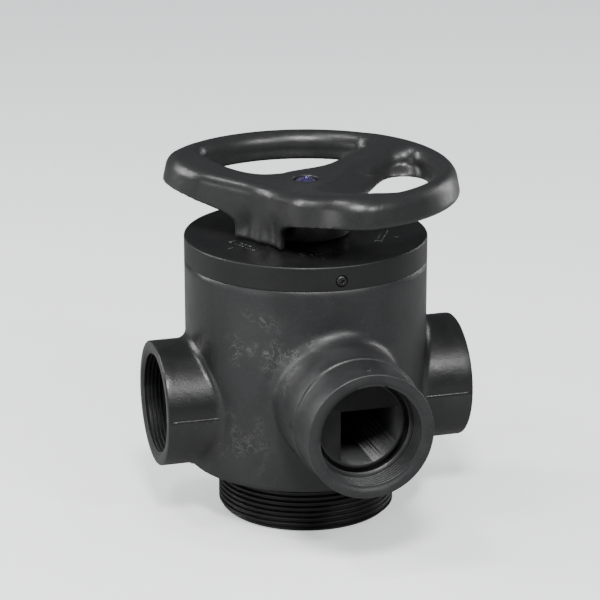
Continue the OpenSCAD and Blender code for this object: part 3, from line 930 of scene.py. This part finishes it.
def moulded(name, a, b, rough, grain=0.04, size=8.0):
    """Plain moulded or ground stock: two close tones, soft mottling and a fine grain."""
    s = Shader(name)
    cloud = s.noise(size, 4, 0.6)
    s.bump(s.noise(0.8, 3, 0.6), grain)
    gloss = s.ramp(cloud, 0.3, 0.7, rough - 0.06, rough + 0.06)
    return s.finish(s.mix(cloud, a, b), gloss)


def metal(name, a, b, rough, turned=True):
    """Machined or plated metal, with turning marks round the valve's axis."""
    s = Shader(name)
    cloud = s.noise(2.5, 4, 0.6)
    if turned:
        wave = s.node("ShaderNodeTexWave", wave_type="RINGS", rings_direction="Z")
        wave.inputs["Scale"].default_value = 2.2
        wave.inputs["Distortion"].default_value = 0.6
        s.link(s.mm, wave.inputs["Vector"])
        s.bump(wave.outputs["Fac"], 0.015)
    s.bump(s.noise(0.5, 2), 0.01)
    return s.finish(s.mix(cloud, a, b), s.ramp(cloud, 0.3, 0.7, rough - 0.07, rough + 0.07), 1.0)


def violet_zinc():
    """Plated steel whose film shifts from violet to pale blue as the face turns away."""
    s = Shader("violet_zinc")
    face = s.node("ShaderNodeLayerWeight")
    face.inputs["Blend"].default_value = 0.35
    film = s.maths("ADD", s.maths("MULTIPLY", face.outputs["Facing"], 0.7), s.noise(2.2, 3, 0.6, 0.8))
    tone = s.mix(s.ramp(film, 0.35, 0.75), rgb(0.085, 0.045, 0.30), rgb(0.26, 0.20, 0.50))
    tone = s.mix(s.ramp(film, 0.75, 1.05), tone, rgb(0.40, 0.44, 0.62))
    s.bump(s.noise(0.5, 2), 0.02)
    return s.finish(tone, s.ramp(s.noise(1.5, 2), 0.3, 0.7, 0.22, 0.36), 0.95)


MATERIALS = {
    "body_plastic": body_plastic,
    "cap_plastic": cap_plastic,
    "handle_plastic": handle_plastic,
    "violet_zinc": violet_zinc,
    "black_steel": lambda: metal("black_steel", rgb(0.03), rgb(0.09), 0.42, False),
    "plain_steel": lambda: metal("plain_steel", rgb(0.50), rgb(0.62), 0.30),
    "spring_steel": lambda: metal("spring_steel", rgb(0.28), rgb(0.40), 0.36),
    "stem_plastic": lambda: moulded(
        "stem_plastic", rgb(0.66, 0.63, 0.54), rgb(0.74, 0.72, 0.63), 0.45
    ),
    "driver_plastic": lambda: moulded(
        "driver_plastic", rgb(0.54, 0.52, 0.44), rgb(0.64, 0.62, 0.53), 0.5
    ),
    "washer_plastic": lambda: moulded(
        "washer_plastic", rgb(0.80, 0.78, 0.72), rgb(0.86, 0.85, 0.80), 0.35
    ),
    "brass": lambda: metal("brass", rgb(0.62, 0.42, 0.14), rgb(0.74, 0.54, 0.22), 0.28),
    "ceramic_white": lambda: moulded(
        "ceramic_white", rgb(0.82, 0.80, 0.74), rgb(0.88, 0.87, 0.82), 0.22, 0.01, 20
    ),
    "rubber": lambda: moulded("rubber", rgb(0.012), rgb(0.022), 0.62, 0.03, 3),
    "clip_plastic": lambda: moulded("clip_plastic", rgb(0.022), rgb(0.034), 0.5),
}

slot_of = {p["node"]: p["material_slot"] for p in frame["record"]["subparts"]}
made = {}


def dress(ob, slot):
    """Gives ob the material of a slot, made when it is first used."""
    if slot not in made:
        made[slot] = MATERIALS[slot]()
    ob.data.materials.clear()
    ob.data.materials.append(made[slot])


# ---------------------------------------------------------------- assembly

SHELLS = {
    "valve_body": (make_body, "housing"),
    "top_cap": (make_cap, "housing"),
    "cap_lock_screw": (make_lock_screw, "housing"),
    "handwheel": (make_wheel, "selector"),
    "handwheel_screw": (make_wheel_screw, "selector"),
}
for node_name, (build, body_name) in SHELLS.items():
    piece = build()
    dress(piece, slot_of[node_name])
    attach(piece, body_name)
    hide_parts(node_name)
for node_name, cad in frame["nodes"].items():
    if node_name not in SHELLS:
        dress(cad, slot_of[node_name])


# ---------------------------------------------------------------- floor, light and camera

def stage_floor():
    """A wide sheet of paper just under the tank thread."""
    size, level = 14.0, -0.0004
    corners = [(x * size, y * size, level) for x, y in ((-1, -1), (1, -1), (1, 1), (-1, 1))]
    mesh = bpy.data.meshes.new("floor")
    mesh.from_pydata(corners, [], [(0, 1, 2, 3)])
    floor = bpy.data.objects.new("floor", mesh)
    bpy.context.scene.collection.objects.link(floor)
    s = Shader("floor_paper")
    tone = s.mix(s.noise(400, 2), rgb(0.86, 0.87, 0.88), rgb(0.90, 0.905, 0.91))
    # pale for the camera, quieter where the dark plastic mirrors it
    seen = s.node("ShaderNodeLightPath").outputs["Is Camera Ray"]
    s.feed(tone, s.bsdf.inputs["Emission Color"])
    s.link(s.maths("MULTIPLY", seen, 0.55), s.bsdf.inputs["Emission Strength"])
    mesh.materials.append(s.finish(s.mix(seen, rgb(0.30), tone), 0.9, specular=0.05))


def softbox(name, target, direction, distance, size, power, size_y=None):
    """An area light that faces target from a direction, both in metres."""
    light = bpy.data.lights.new(name, "AREA")
    light.shape = "RECTANGLE"
    light.size = size
    light.size_y = size_y or size
    light.energy = power
    ob = bpy.data.objects.new(name, light)
    d = Vector(direction).normalized()
    ob.location = Vector(target) + d * distance
    ob.rotation_euler = d.to_track_quat("Z", "Y").to_euler()
    bpy.context.scene.collection.objects.link(ob)


def lights():
    """Small softboxes for the highlights, and a sky that fills shadows but isn't mirrored much."""
    middle = (0, 0, 0.12)
    softbox("front top", middle, (-0.17, -0.66, 0.73), 1.5, 0.26, 22)
    softbox("key", middle, (0.36, -0.72, 0.56), 1.5, 0.20, 9)
    softbox("overhead", middle, (-0.42, -0.16, 0.89), 1.4, 0.22, 6)
    softbox("left", middle, (-0.80, 0.42, 0.44), 1.3, 0.28, 12, 0.8)
    softbox("low left", middle, (-0.88, -0.46, 0.12), 1.5, 0.6, 3.5, 0.4)
    softbox("right", middle, (0.92, 0.38, 0.16), 1.4, 0.24, 5, 0.8)
    world = bpy.data.worlds.new("studio")
    world.use_nodes = True
    tree = world.node_tree
    back = tree.nodes["Background"]
    back.inputs["Color"].default_value = rgb(0.93, 0.96, 1.0)
    seen = tree.nodes.new("ShaderNodeLightPath").outputs["Is Glossy Ray"]
    level = tree.nodes.new("ShaderNodeMapRange")
    level.inputs["To Min"].default_value = 0.55
    level.inputs["To Max"].default_value = 0.10
    tree.links.new(seen, level.inputs["Value"])
    tree.links.new(level.outputs["Result"], back.inputs["Strength"])
    bpy.context.scene.world = world


def camera():
    """The photograph's view: from the front left, a little above."""
    cam = bpy.data.cameras.new("camera")
    cam.sensor_width = 36
    cam.lens = 154.3
    cam.shift_x, cam.shift_y = -0.0143, 0.0386
    cam.clip_start, cam.clip_end = 0.05, 60
    ob = bpy.data.objects.new("camera", cam)
    azimuth, raised = math.radians(-16.66), math.radians(18.44)
    level = math.cos(raised)
    back = Vector((math.sin(azimuth) * level, -math.cos(azimuth) * level, math.sin(raised)))
    side = Vector((0, 0, 1)).cross(back).normalized()
    ob.matrix_world = Matrix((side, back.cross(side), back)).transposed().to_4x4()
    ob.location = (-0.39953, -1.34094, 0.57509)
    bpy.context.scene.collection.objects.link(ob)
    bpy.context.scene.camera = ob


stage_floor()
lights()
camera()
